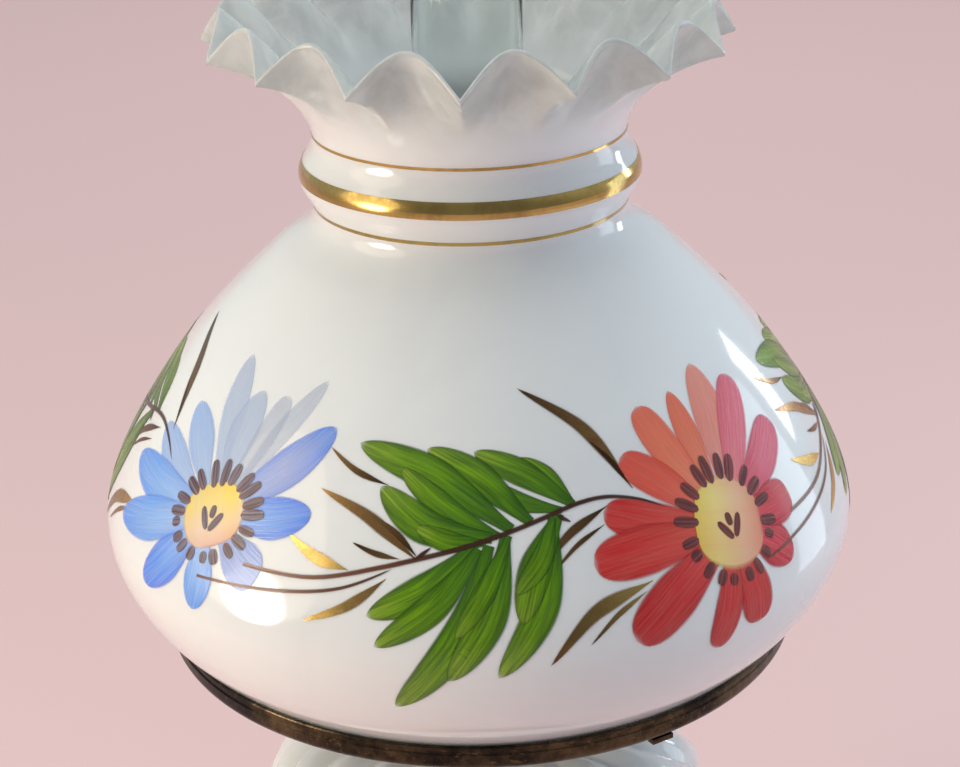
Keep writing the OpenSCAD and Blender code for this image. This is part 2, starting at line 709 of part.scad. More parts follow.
module crimped_top() {
    columns = crimp_count * crimp_steps;
    sunk = 2.5;              // how far the crimped top reaches down inside the wall of the body
    slack = 0.4;             // how far it stays inside the faces of that wall
    places = concat([-sunk], [for (i = [0 : crimp_rows]) i / crimp_rows]);
    last = len(places) - 1;
    loop = concat([for (i = [0 : last]) [places[i], 1]], [for (i = [last : -1 : 0]) [places[i], -1]]);
    points = [for (q = loop, j = [0 : columns - 1])
        let (t = max(0, q[0]), c = crimp_line(q[0]), a = 360 * j / columns,
            wave = 1 - 2 * abs(sin(a * crimp_count / 2)),
            half = shade_wall / 2 - slack * (1 - min(1, t * 3)) - 0.5 * pow(t, 3),
            p = c[0] + c[1] * (crimp_amp * pow(t, 1.6) * wave + q[1] * half))
        [p[0] * cos(a + crimp_turn), p[0] * sin(a + crimp_turn), p[1]]];
    faces = grid_faces(len(loop), columns, true);
    polyhedron(points, [for (f = faces) reversed(f)], convexity = 8);
}

module shade() {
    color("#f4f2ee") translate([0, 0, ring_z]) {
        wall_of(shade_outline(), shade_wall);
        crimped_top();
    }
}

foot();
foot_felt();
rod_washer();
rod_nut();
tie_rod();
stem_spool_lower();
stem_knop();
stem_spool_upper();
font_cup();
font_cement();
font_glass();
collar_cement();
font_collar();
burner_sleeve();
burner_basket();
draft_plate();
wick_tube();
shaft_bush();
wick_shaft();
wick_wheels();
wick_knob();
wick();
gallery_plate();
gallery_springs();
flame_dome();
holder_hub();
holder_arm_1();
holder_arm_2();
holder_arm_3();
holder_rivets();
holder_ring();
chimney();
shade();
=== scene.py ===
import bpy
import bmesh
from bisect import bisect_right
from math import cos, hypot, pi, radians, sin, sqrt
from mathutils import Matrix, Vector


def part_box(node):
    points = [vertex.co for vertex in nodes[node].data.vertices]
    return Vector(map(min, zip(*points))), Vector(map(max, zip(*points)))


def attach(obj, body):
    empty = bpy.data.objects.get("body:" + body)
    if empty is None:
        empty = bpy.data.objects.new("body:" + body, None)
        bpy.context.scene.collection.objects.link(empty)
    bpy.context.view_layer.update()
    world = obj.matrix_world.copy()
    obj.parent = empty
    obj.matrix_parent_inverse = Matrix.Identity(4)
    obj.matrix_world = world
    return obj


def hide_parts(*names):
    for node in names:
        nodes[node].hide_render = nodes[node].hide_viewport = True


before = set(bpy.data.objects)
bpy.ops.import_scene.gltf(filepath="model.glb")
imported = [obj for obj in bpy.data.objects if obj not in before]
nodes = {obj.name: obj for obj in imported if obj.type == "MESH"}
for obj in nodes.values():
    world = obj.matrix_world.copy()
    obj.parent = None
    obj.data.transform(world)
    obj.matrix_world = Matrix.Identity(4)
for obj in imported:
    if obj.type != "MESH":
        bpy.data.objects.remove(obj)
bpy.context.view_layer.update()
mm = 0.001
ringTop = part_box("holder_ring")[1][2]      # the shade's heights are measured from here
print("packed model loaded:", len(nodes), "nodes")


# One socket of a node tree, so that sums on it are written as Python
class Wire:
    def __init__(self, tree, socket=None):
        self.tree = tree
        self.socket = socket

    def node(self, kind, settings=None, values=None, out=0):
        made = self.tree.nodes.new(kind)
        for name, value in (settings or {}).items():
            if name == "stops":
                first, *middle, last = value
                made.color_ramp.elements[0].position, made.color_ramp.elements[0].color = first
                made.color_ramp.elements[1].position, made.color_ramp.elements[1].color = last
                for place, colour in middle:
                    made.color_ramp.elements.new(place).color = colour
            else:
                setattr(made, name, value)
        for name, value in (values or {}).items():
            if isinstance(value, Wire):
                self.tree.links.new(value.socket, made.inputs[name])
            elif value is not None:
                made.inputs[name].default_value = value
        return Wire(self.tree, made.outputs[out] if made.outputs else None)

    def sum(self, operation, *others):
        return self.node("ShaderNodeMath", {"operation": operation}, dict(enumerate((self,) + others)))

    def __add__(self, other):
        return self.sum("ADD", other)

    def __mul__(self, other):
        return self.sum("MULTIPLY", other)

    __radd__ = __add__
    __rmul__ = __mul__

    def __sub__(self, other):
        return self.sum("SUBTRACT", other)

    def __rsub__(self, other):
        return (self * -1) + other

    def __truediv__(self, other):
        return self.sum("DIVIDE", other)

    def __mod__(self, other):
        return self.sum("MODULO", other)

    def __pow__(self, other):
        return self.sum("POWER", other)

    def __abs__(self):
        return self.sum("ABSOLUTE")

    def between(self, low, high):
        return self.node("ShaderNodeMapRange", {"interpolation_type": "SMOOTHSTEP"},
                         {"Value": self, "From Min": low, "From Max": high})

    def parts(self):
        split = self.node("ShaderNodeSeparateXYZ", None, {0: self})
        return [Wire(self.tree, socket) for socket in split.socket.node.outputs]

    def vector(self, operation, *others):
        return self.node("ShaderNodeVectorMath", {"operation": operation}, dict(enumerate((self,) + others)))

    def scaled(self, size):
        return self.node("ShaderNodeVectorMath", {"operation": "SCALE"}, {0: self, "Scale": size})

    def join(self, x, y, z):
        return self.node("ShaderNodeCombineXYZ", None, {0: x, 1: y, 2: z})

    def blend(self, a, b):
        colours = {0: self, 6: a, 7: b}
        return self.node("ShaderNodeMix", {"data_type": "RGBA"}, colours, 2)

    def noise(self, scale, detail=3.0, rough=0.55, warp=0.0):
        return self.node("ShaderNodeTexNoise", None, {
            "Vector": self, "Scale": scale, "Detail": detail, "Roughness": rough, "Distortion": warp})


def tone(r, g, b):                           # screen colour, 0 to 255, as a linear one
    linear = [c / 255 / 12.92 if c < 10 else ((c / 255 + 0.055) / 1.055) ** 2.4 for c in (r, g, b)]
    return tuple(linear) + (1.0,)


def mix(a, b, t):
    return a + (b - a) * t


def emptyMaterial(name):
    made = bpy.data.materials.new(name)
    made.use_nodes = True
    made.node_tree.nodes.clear()
    return made, Wire(made.node_tree)


def objectPlace(start):
    return start.node("ShaderNodeTexCoord", out="Object")


def bumped(start, height, strength, distance):
    return start.node("ShaderNodeBump", None, {"Height": height, "Strength": strength, "Distance": distance})


def surface(start, values):
    return start.node("ShaderNodeBsdfPrincipled", None, values)


def finished(start, shader):
    start.node("ShaderNodeOutputMaterial", None, {"Surface": shader})


# Metal with a worn colour, cloudy tarnish and fine lines left by the lathe or the rolls
def metalFinish(name, bright, dull, pale, lines, cloudy, clean, rough, dullRough, lineDepth):
    made, start = emptyMaterial(name)
    place = objectPlace(start)
    x, y, z = place.parts()
    radius = (x * x + y * y) ** 0.5
    turning = start.join(radius * lines, z * lines, x * 20).noise(1.0, 2.0)
    cloud = place.noise(cloudy, 4.0, 0.6, 0.6)
    specks = place.noise(cloudy * 14, 3.0, 0.7)
    tarnish = (cloud * 0.75 + specks * 0.35).between(clean, clean + 0.3)
    scratches = place.vector("MULTIPLY", (90, 420, 160)).noise(3.0, 2.0).between(0.62, 0.7)
    colour = tarnish.blend(tone(*bright), tone(*dull))
    colour = (scratches * 0.25).blend(colour, tone(*pale))
    roughness = tarnish * dullRough + turning * 0.08 + rough
    relief = turning * lineDepth + specks * 0.3 + scratches * -0.2
    finished(start, surface(start, {
        "Base Color": colour, "Metallic": 1.0, "Roughness": roughness, "IOR": 1.5,
        "Normal": bumped(start, relief, 0.35, 0.0002)}))
    return made


castBrass = metalFinish("castBrass", (196, 152, 84), (122, 86, 46), (232, 204, 148), lines=900,
    cloudy=26, clean=0.46, rough=0.2, dullRough=0.22, lineDepth=0.5)
turnedBrass = metalFinish("turnedBrass", (214, 170, 92), (142, 102, 52), (240, 214, 156), lines=1700,
    cloudy=40, clean=0.5, rough=0.16, dullRough=0.2, lineDepth=0.8)
collarBrass = metalFinish("collarBrass", (202, 160, 88), (96, 66, 36), (238, 206, 140), lines=1500,
    cloudy=70, clean=0.45, rough=0.22, dullRough=0.25, lineDepth=0.5)
burnerBrass = metalFinish("burnerBrass", (206, 166, 92), (132, 98, 56), (236, 210, 150), lines=1300,
    cloudy=60, clean=0.45, rough=0.24, dullRough=0.2, lineDepth=0.5)
springBrass = metalFinish("springBrass", (220, 182, 104), (150, 114, 62), (244, 220, 164), lines=800,
    cloudy=90, clean=0.5, rough=0.18, dullRough=0.2, lineDepth=0.3)
holderBronze = metalFinish("holderBronze", (98, 84, 62), (34, 31, 29), (150, 126, 88), lines=1400,
    cloudy=14, clean=0.34, rough=0.16, dullRough=0.16, lineDepth=0.3)
steel = metalFinish("steel", (168, 168, 166), (96, 90, 84), (220, 220, 218), lines=1500,
    cloudy=80, clean=0.48, rough=0.28, dullRough=0.25, lineDepth=0.7)


# Opal glass: white and glossy, with faint clouds and ripples; thin edges let the light through, and the thin
# crimped top is painted with grey streaks of shade in its folds
def opalFinish(name, look):
    made, start = emptyMaterial(name)
    place = objectPlace(start)
    height = place.parts()[2]
    thin = (height / mm).between(look["thinFrom"], look["thinTo"])
    cloud = place.noise(look["cloud"], 4.0, 0.55, 0.8).between(0.3, 0.75)
    # painted shade: grey streaks that stand for the shade in the folds of the crimped top
    foldShade = place.vector("MULTIPLY", (1.0, 1.0, 0.35)).noise(95, 3.0, 0.6, 0.6).between(0.3, 0.72)
    body = cloud.blend(look["white"], look["milky"])
    thinTopWithShade = foldShade.blend(look["thinPale"], look["thinFoldShade"])
    ripple = place.noise(38, 3.0, 0.5) + place.noise(9, 2.0, 0.5) * 3
    normal = bumped(start, ripple, 0.12, 0.0006)
    specks = place.noise(900, 2.0).between(0.74, 0.8)
    milk = surface(start, {
        "Base Color": (specks * 0.25).blend(thin.blend(body, thinTopWithShade), look["speck"]),
        "Roughness": cloud * 0.05 + look["rough"], "IOR": 1.5, "Subsurface Weight": look["glow"],
        "Subsurface Radius": (1.0, 0.9, 0.85), "Subsurface Scale": 0.006, "Coat Weight": 0.35,
        "Coat Roughness": 0.04, "Normal": normal})
    clear = surface(start, {
        "Base Color": foldShade.blend(look["veil"], look["veilFoldShade"]), "Roughness": 0.12, "IOR": 1.45,
        "Transmission Weight": 0.9, "Normal": normal})
    share = thin * look["clearShare"]
    finished(start, start.node("ShaderNodeMixShader", None, {0: share, 1: milk, 2: clear}))
    return made


shadeGlass = opalFinish("shadeMilkGlass", {
    "white": tone(232, 238, 238), "milky": tone(226, 232, 233), "thinPale": tone(234, 241, 238),
    "thinFoldShade": tone(212, 222, 219), "veil": tone(244, 246, 244), "veilFoldShade": tone(222, 226, 225),
    "speck": tone(206, 202, 200), "cloud": 9, "rough": 0.07, "glow": 0.25, "clearShare": 0.36,
    "thinFrom": ringTop / mm + 196, "thinTo": ringTop / mm + 222})
fontGlass = opalFinish("fontMilkGlass", {
    "white": tone(244, 246, 244), "milky": tone(222, 225, 225), "thinPale": tone(232, 232, 230),
    "thinFoldShade": tone(200, 200, 200), "veil": tone(240, 242, 240), "veilFoldShade": tone(210, 212, 212),
    "speck": tone(206, 204, 200), "cloud": 14, "rough": 0.08, "glow": 0.2, "clearShare": 0.0,
    "thinFrom": 900, "thinTo": 910})


def clearFinish(name, tint):
    made, start = emptyMaterial(name)
    place = objectPlace(start)
    draw = place.vector("MULTIPLY", (1, 1, 0.08)).noise(160, 3.0, 0.5)
    seeds = place.noise(700, 1.0).between(0.78, 0.82)
    finished(start, surface(start, {
        "Base Color": seeds.blend(tint, tone(214, 220, 220)), "Roughness": seeds * 0.2 + draw * 0.02 + 0.01,
        "IOR": 1.28, "Transmission Weight": 1.0, "Normal": bumped(start, draw, 0.1, 0.0004)}))
    return made


chimneyGlass = clearFinish("chimneyGlass", tone(244, 248, 247))


# Soft or dry stuff: two tones, a cloud, a grain and a bump of the same grain
def dryFinish(name, look):
    made, start = emptyMaterial(name)
    place = objectPlace(start)
    x, y, z = place.parts()
    cloud = place.noise(look["cloud"], 4.0, 0.6)
    if look["weave"]:
        weave = (x * look["weave"]).sum("SINE") * (z * look["weave"]).sum("SINE") * 0.5 + 0.5
        grain = weave * 0.7 + place.noise(1500, 3.0, 0.7) * 0.3
    else:
        grain = place.noise(look["grain"], 5.0, 0.7, 0.4)
    colour = (cloud * 0.5 + grain * 0.6).between(0.25, 0.8).blend(look["dark"], look["light"])
    if look["scorch"]:
        colour = (z / mm + cloud * 4).between(*look["scorch"]).blend(colour, tone(24, 20, 17))
    finished(start, surface(start, {
        "Base Color": colour, "Roughness": grain * 0.12 + 0.82, "Sheen Weight": look["sheen"],
        "Specular IOR Level": 0.2, "Normal": bumped(start, grain, 0.8, look["relief"])}))
    return made


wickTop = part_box("wick")[1][2] / mm
felt = dryFinish("felt", {"cloud": 60, "weave": 0, "grain": 900, "dark": tone(24, 44, 32),
                          "light": tone(62, 92, 68), "scorch": None, "sheen": 0.5, "relief": 0.0005})
plaster = dryFinish("plaster", {"cloud": 120, "weave": 0, "grain": 1200, "dark": tone(176, 168, 150),
                                "light": tone(226, 220, 206), "scorch": None, "sheen": 0.0, "relief": 0.0003})
wickCotton = dryFinish("wickCotton", {"cloud": 90, "weave": 4200, "grain": 0, "dark": tone(170, 158, 132),
                                      "light": tone(238, 230, 208), "scorch": (wickTop - 4, wickTop - 1),
                                      "sheen": 0.3, "relief": 0.0003})


# Enamel brushed on by hand: the stroke's own colour, streaked along its length
def enamelFinish(name, streak, deep, gloss):
    made, start = emptyMaterial(name)
    brush = start.node("ShaderNodeAttribute", {"attribute_name": "tint"}, out="Color")
    cover = Wire(start.tree, brush.socket.node.outputs["Alpha"])
    along, across, _ = start.node("ShaderNodeTexCoord", out="UV").parts()
    hairs = start.join(along * 0.4, across * 1.1, 0.0).noise(1.0, 2.0, 0.6).between(0.32, 0.68)
    broad = start.join(along * 0.6, across * 0.35, 4.0).noise(1.0, 2.0).between(0.3, 0.7)
    mark = hairs * 0.7 + broad * 0.3
    finished(start, surface(start, {
        "Base Color": (mark * streak).blend(brush, deep), "Roughness": hairs * 0.12 + gloss,
        "Coat Weight": 0.1, "Coat Roughness": 0.06,
        "Alpha": cover * (1 - broad * 0.1), "Normal": bumped(start, hairs, 0.25, 0.0002)}))
    return made


blueEnamel = enamelFinish("blueEnamel", 0.26, tone(200, 218, 250), 0.16)
redEnamel = enamelFinish("redEnamel", 0.24, tone(246, 124, 100), 0.16)
leafEnamel = enamelFinish("leafEnamel", 0.7, tone(16, 66, 0), 0.18)
stemEnamel = enamelFinish("stemEnamel", 0.4, tone(48, 24, 14), 0.2)


# Bright gold fired on the glass, worn thin in places, so that the brown under it shows
def giltFinish(name, look):
    made, start = emptyMaterial(name)
    place = objectPlace(start)
    worn = place.noise(look["cloud"], 4.0, 0.65, 0.5) * 0.8 + place.noise(600, 2.0) * 0.2
    wear = worn.between(0.42, 0.66)
    if look["tinted"]:
        brush = start.node("ShaderNodeAttribute", {"attribute_name": "tint"}, out="Color")
        cover = Wire(start.tree, brush.socket.node.outputs["Alpha"])
        colour = (wear * 0.35).blend(brush, look["brown"])
    else:
        cover = 1.0
        colour = (wear * 0.5).blend(look["gold"], look["brown"])
    finished(start, surface(start, {
        "Base Color": colour, "Metallic": 0.95, "Roughness": wear * 0.16 + look["rough"], "Alpha": cover,
        "Coat Weight": 0.2, "Coat Roughness": 0.05,
        "Normal": bumped(start, place.noise(300, 3.0), 0.1, 0.0002)}))
    return made


bandGold = giltFinish("bandGold", {"gold": tone(206, 178, 104), "brown": tone(118, 94, 50), "cloud": 30,
                                   "rough": 0.08, "tinted": False})
bladeGold = giltFinish("bladeGold", {"gold": None, "brown": tone(70, 42, 18), "cloud": 60, "rough": 0.2,
                                     "tinted": True})
print("finishes mixed")


def newTree(name, sockets):
    tree = bpy.data.node_groups.new(name, "GeometryNodeTree")
    tree.interface.new_socket("Geometry", in_out="INPUT", socket_type="NodeSocketGeometry")
    for label, kind, value in sockets:
        socket = tree.interface.new_socket(label, in_out="INPUT", socket_type="NodeSocket" + kind)
        if value is not None:
            socket.default_value = value
    tree.interface.new_socket("Geometry", in_out="OUTPUT", socket_type="NodeSocketGeometry")
    start = Wire(tree)
    entry = start.node("NodeGroupInput").socket.node
    return tree, start, {socket.name: Wire(tree, socket) for socket in entry.outputs if socket.name}


def closeTree(start, shape, finish):
    shape = start.node("GeometryNodeSetShadeSmooth", None, {"Geometry": shape})
    shape = start.node("GeometryNodeRealizeInstances", None, {"Geometry": shape})
    shape = start.node("GeometryNodeSetMaterial", None, {"Geometry": shape, "Material": finish})
    start.node("NodeGroupOutput", None, {"Geometry": shape})


# Turns an outline into a solid of revolution; its "lift" stands out in waves round the axis,
# and its "twist" turns each height by its own angle
def turningTree():
    tree, start, given = newTree("turnedOutline", [
        ("Columns", "Int", 128), ("Waves", "Float", 0.0), ("Wave Base", "Float", 0.0),
        ("Wave Gain", "Float", 0.0), ("Wave Phase", "Float", 0.0), ("Turn", "Float", 0.0),
        ("Finish", "Material", None)])
    rows = start.node("GeometryNodeAttributeDomainSize", None, {"Geometry": given["Geometry"]}, "Point Count")
    grid = start.node("GeometryNodeMeshGrid", None, {
        "Size X": 1.0, "Size Y": 1.0, "Vertices X": given["Columns"] + 1, "Vertices Y": rows})
    index = start.node("GeometryNodeInputIndex")
    row = index % rows
    column = (index / rows).sum("FLOOR")

    def fromOutline(kind, field):
        return start.node("GeometryNodeSampleIndex", {"data_type": kind},
                          {"Geometry": given["Geometry"], "Value": field, "Index": row})

    def named(kind, name):
        return start.node("GeometryNodeInputNamedAttribute", {"data_type": kind}, {"Name": name})

    point = fromOutline("FLOAT_VECTOR", start.node("GeometryNodeInputPosition"))
    outward = fromOutline("FLOAT_VECTOR", named("FLOAT_VECTOR", "outward"))
    lift = fromOutline("FLOAT", named("FLOAT", "lift"))
    twist = fromOutline("FLOAT", named("FLOAT", "twist"))
    angle = column / given["Columns"] * (2 * pi)
    wave = abs((angle * given["Waves"] / 2 + given["Wave Phase"]).sum("SINE")) * given["Wave Gain"]
    moved = point.vector("ADD", outward.scaled(lift * (wave + given["Wave Base"])))
    x, _, z = moved.parts()
    bearing = angle + twist + given["Turn"]
    shape = start.node("GeometryNodeSetPosition", None, {
        "Geometry": grid, "Position": start.join(x * bearing.sum("COSINE"), x * bearing.sum("SINE"), z)})
    shape = start.node("GeometryNodeMergeByDistance", None, {"Geometry": shape, "Distance": 0.000002})
    closeTree(start, shape, given["Finish"])
    return tree


# Lays a flat drawing on the shade: x is the angle round it, y the way up its outline and z the
# thickness of the paint. The drawing is repeated round the shade.
def layingTree():
    tree, start, given = newTree("drawingOnShade", [
        ("Outline", "Object", None), ("Repeats", "Int", 2), ("Step", "Float", pi),
        ("Finish", "Material", None)])
    outline = start.node("GeometryNodeObjectInfo", None, {"Object": given["Outline"]}, "Geometry")
    outline = start.node("GeometryNodeMeshToCurve", None, {0: outline})
    angle, way, proud = start.node("GeometryNodeInputPosition").parts()
    sample = start.node("GeometryNodeSampleCurve", {"mode": "LENGTH"},
                        {"Curves": outline, "Length": way}, "Position").socket.node
    radius, _, height = Wire(tree, sample.outputs["Position"]).parts()
    across, _, up = Wire(tree, sample.outputs["Tangent"]).parts()
    radius = radius + up * proud
    height = height - across * proud
    place = start.join(radius * angle.sum("SINE"), radius * angle.sum("COSINE") * -1, height)
    drawn = start.node("GeometryNodeSetPosition", None, {"Geometry": given["Geometry"], "Position": place})
    spots = start.node("GeometryNodeMeshLine", None, {"Count": given["Repeats"], "Offset": (0, 0, 0)})
    turn = start.join(0.0, 0.0, start.node("GeometryNodeInputIndex") * given["Step"])
    shape = start.node("GeometryNodeInstanceOnPoints", None,
                       {"Points": spots, "Instance": drawn, "Rotation": turn})
    closeTree(start, shape, given["Finish"])
    return tree


turning = turningTree()
laying = layingTree()


def grown(name, mesh, tree, sizes):
    piece = bpy.data.objects.new(name, mesh)
    bpy.context.collection.objects.link(piece)
    modifier = piece.modifiers.new("growth", "NODES")
    modifier.node_group = tree
    for socket in tree.interface.items_tree:
        if socket.in_out == "INPUT" and socket.name in sizes:
            modifier[socket.identifier] = sizes[socket.name]
    ready = piece.evaluated_get(bpy.context.evaluated_depsgraph_get())
    plain = bpy.data.meshes.new_from_object(ready)
    piece.modifiers.remove(modifier)
    piece.data = plain
    return piece


def onward(line, b, c, d, steps):             # carries an outline on to d along a cubic curve
    a = line[-1]
    for i in range(1, steps + 1):
        t = i / steps
        line.append(tuple(p * (1 - t) ** 3 + 3 * q * t * (1 - t) ** 2 + 3 * r * t * t * (1 - t) + s * t ** 3
                          for p, q, r, s in zip(a, b, c, d)))


def sides(line):                             # unit normals to the right of an outline's direction
    out = []
    for i in range(len(line)):
        a, b = line[max(0, i - 1)], line[min(len(line) - 1, i + 1)]
        x, z = b[0] - a[0], b[1] - a[1]
        size = hypot(x, z) or 1
        out.append((z / size, -x / size))
    return out


def insetLine(line, wall):
    return [(p[0] - wall * n[0], p[1] - wall * n[1]) for p, n in zip(line, sides(line))]


# loop holds (radius, height) or (radius, height, lift, normal, twist) in millimetres above base
def outlineMesh(name, loop, base):
    mesh = bpy.data.meshes.new(name)
    full = [tuple(p) + (0, (0, 0), 0)[len(p) - 2:] for p in loop]
    mesh.from_pydata([(p[0] * mm, 0, (p[1] + base) * mm) for p in full],
                     [(i, i + 1) for i in range(len(full) - 1)], [])
    mesh.attributes.new("outward", "FLOAT_VECTOR", "POINT").data.foreach_set(
        "vector", [c for p in full for c in (p[3][0], 0, p[3][1])])
    mesh.attributes.new("lift", "FLOAT", "POINT").data.foreach_set("value", [p[2] * mm for p in full])
    mesh.attributes.new("twist", "FLOAT", "POINT").data.foreach_set("value", [radians(p[4]) for p in full])
    return mesh


def turned(name, body, slotName, finish, loop, base, corner=32, columns=128, stands=(), **waves):
    sizes = {"Columns": columns, "Finish": finish}
    sizes.update(waves)
    closed = list(loop) + [loop[0]]
    piece = grown(name, outlineMesh(name, closed, base), turning, sizes)
    work = bmesh.new()
    work.from_mesh(piece.data)
    bmesh.ops.remove_doubles(work, verts=work.verts, dist=0.000002)
    bmesh.ops.recalc_face_normals(work, faces=work.faces)
    work.to_mesh(piece.data)
    work.free()
    piece.data.set_sharp_from_angle(angle=radians(corner))
    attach(piece, body)
    if stands:
        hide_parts(*stands)
    return piece


# Shade: the sizes are millimetres, up from the top of the holder ring
shadeSizes = {
    "fitter": 124.5, "belly": 147.3, "neck": 59.0, "body": 190.0, "wall": 3.2, "sunk": 8.6,
    "crimps": 16, "crimpHeight": 8.0, "crimpSpread": 35.0, "crimpRise": 40.5, "crimpTurn": -91.5}


def shadeOutline(sizes, steps):
    fitter, belly, neck, body = sizes["fitter"], sizes["belly"], sizes["neck"], sizes["body"]
    bellyAt, coneAt, grooveAt, beadAt = body * 0.216, body * 0.537, body * 0.853, body * 0.922
    cone, groove, bead, throat = neck + (belly - neck) * 0.654, neck + 0.5, neck + 5.5, neck + 5.5
    slopeR, slopeZ = mix(cone, groove, 0.73), mix(coneAt, grooveAt, 0.735)
    line = [(fitter, 0.0)]
    onward(line, (fitter + 3, 1.5), (belly, bellyAt * 0.5), (belly, bellyAt), steps)
    onward(line, (belly, mix(bellyAt, coneAt, 0.25)), (mix(cone, belly, 0.56), mix(bellyAt, coneAt, 0.61)),
           (cone, coneAt), steps)
    onward(line, (mix(cone, groove, 0.23), mix(coneAt, grooveAt, 0.3)),
           (mix(cone, groove, 0.61), mix(coneAt, grooveAt, 0.63)), (slopeR, slopeZ), steps)
    onward(line, (mix(cone, groove, 0.835), mix(coneAt, grooveAt, 0.82)),
           (groove + 0.5, mix(coneAt, grooveAt, 0.88)), (groove, grooveAt), steps)
    onward(line, (groove, grooveAt + 4), (bead, beadAt - 6), (bead, beadAt), steps)
    onward(line, (bead, beadAt + 6), (neck, body - 7), (neck, body), steps)
    onward(line, (neck, body + 5), (throat - 2.5, body + 9), (throat, body + 13), steps)
    return line


def shadeLoop(sizes):
    wall, neck, body = sizes["wall"], sizes["neck"], sizes["body"]
    line = [(sizes["fitter"], -sizes["sunk"])] + shadeOutline(sizes, 10)
    throat, throatAt = line[-1]
    rim, rimAt = neck + sizes["crimpSpread"], body + sizes["crimpRise"]
    slope = hypot(2.5, 4)
    bodyCount = len(line)
    rows = 18
    onward(line, (throat + 9.4 * 2.5 / slope, throatAt + 9.4 * 4 / slope),
           (mix(throat, rim, 0.53), mix(throatAt, rimAt, 0.72)), (rim, rimAt), rows)
    normals = sides(line)
    outer, inner = [], []
    for i, (p, n) in enumerate(zip(line, normals)):
        share = max(0, i - bodyCount + 1) / rows
        lift = sizes["crimpHeight"] * share ** 1.6
        half = wall / 2 - 0.5 * share ** 3
        centre = (p[0] - n[0] * wall / 2, p[1] - n[1] * wall / 2)
        outer.append((centre[0] + n[0] * half, centre[1] + n[1] * half, lift, n))
        inner.append((centre[0] - n[0] * half, centre[1] - n[1] * half, lift, n))
    tip = []
    for k in range(1, 6):                    # the rim is melted round
        a = pi * k / 6
        tip.append((centre[0] + half * (n[0] * cos(a) - n[1] * sin(a)),
                    centre[1] + half * (n[1] * cos(a) + n[0] * sin(a)), lift, n))
    return outer + tip + inner[::-1]


turned("shade_glass", "shade", "shade_milk_glass", shadeGlass, shadeLoop(shadeSizes), ringTop / mm,
       corner=70, columns=384, stands=["shade"], Waves=float(shadeSizes["crimps"]),
       **{"Wave Base": 1.0, "Wave Gain": -2.0, "Turn": radians(shadeSizes["crimpTurn"])})
print("shade blown and crimped")

# The gilt lines run round the glass between two heights, a hair proud of it
giltLines = {
    "gilt_line_lower": (163.2, 164.7), "gilt_band": (174.0, 180.4), "gilt_line_upper": (190.3, 191.8)}
giltProud, giltSunk = 0.14, 0.3
shadeLine = shadeOutline(shadeSizes, 40)
for name, (low, high) in giltLines.items():
    strip = [p for p in zip(shadeLine, sides(shadeLine)) if low <= p[0][1] <= high]
    outer = [(p[0] + n[0] * giltProud, p[1] + n[1] * giltProud) for p, n in strip]
    inner = [(p[0] - n[0] * giltSunk, p[1] - n[1] * giltSunk) for p, n in strip]
    turned(name, "shade", "shade_milk_glass", bandGold, outer + inner[::-1], ringTop / mm, columns=192)

# How far up the outline each of its points lies
lengths = [0.0]
for a, b in zip(shadeLine, shadeLine[1:]):
    lengths.append(lengths[-1] + hypot(b[0] - a[0], b[1] - a[1]))
outlineObject = bpy.data.objects.new("outline", outlineMesh("outline", shadeLine, ringTop / mm))
bpy.context.collection.objects.link(outlineObject)


def radiusAt(way):
    i = min(max(bisect_right(lengths, way) - 1, 0), len(shadeLine) - 2)
    return mix(shadeLine[i][0], shadeLine[i + 1][0], (way - lengths[i]) / (lengths[i + 1] - lengths[i]))


# How a stroke swells: share of the width at its start, where it is widest, and how it closes
brushForms = {
    "petal": (0.5, 0.58, 2.6, 0.62), "pointed": (0.5, 0.5, 1.9, 0.8), "lobe": (0.3, 0.55, 1.9, 0.85),
    "blade": (0.04, 0.42, 1.5, 1.0), "stem": (0.75, 0.3, 3.0, 0.7), "oval": None}


def swell(form, u):
    if brushForms[form] is None:
        return sqrt(max(0.0, 1 - (2 * u - 1) ** 2))
    start, peak, power, close = brushForms[form]
    if u < peak:
        t = u / peak
        return start + (1 - start) * t * t * (3 - 2 * t)
    return max(0.0, 1 - ((u - peak) / (1 - peak)) ** power) ** close


def stopAt(stops, u):
    last = stops[0]
    for stop in stops[1:]:
        if u <= stop[0]:
            t = (u - last[0]) / (stop[0] - last[0])
            return [mix(a, b, t) for a, b in zip(last[1], stop[1])]
        last = stop
    return list(last[1])


def evenly(*colours):
    return [(i / (len(colours) - 1), tone(*c)) for i, c in enumerate(colours)]


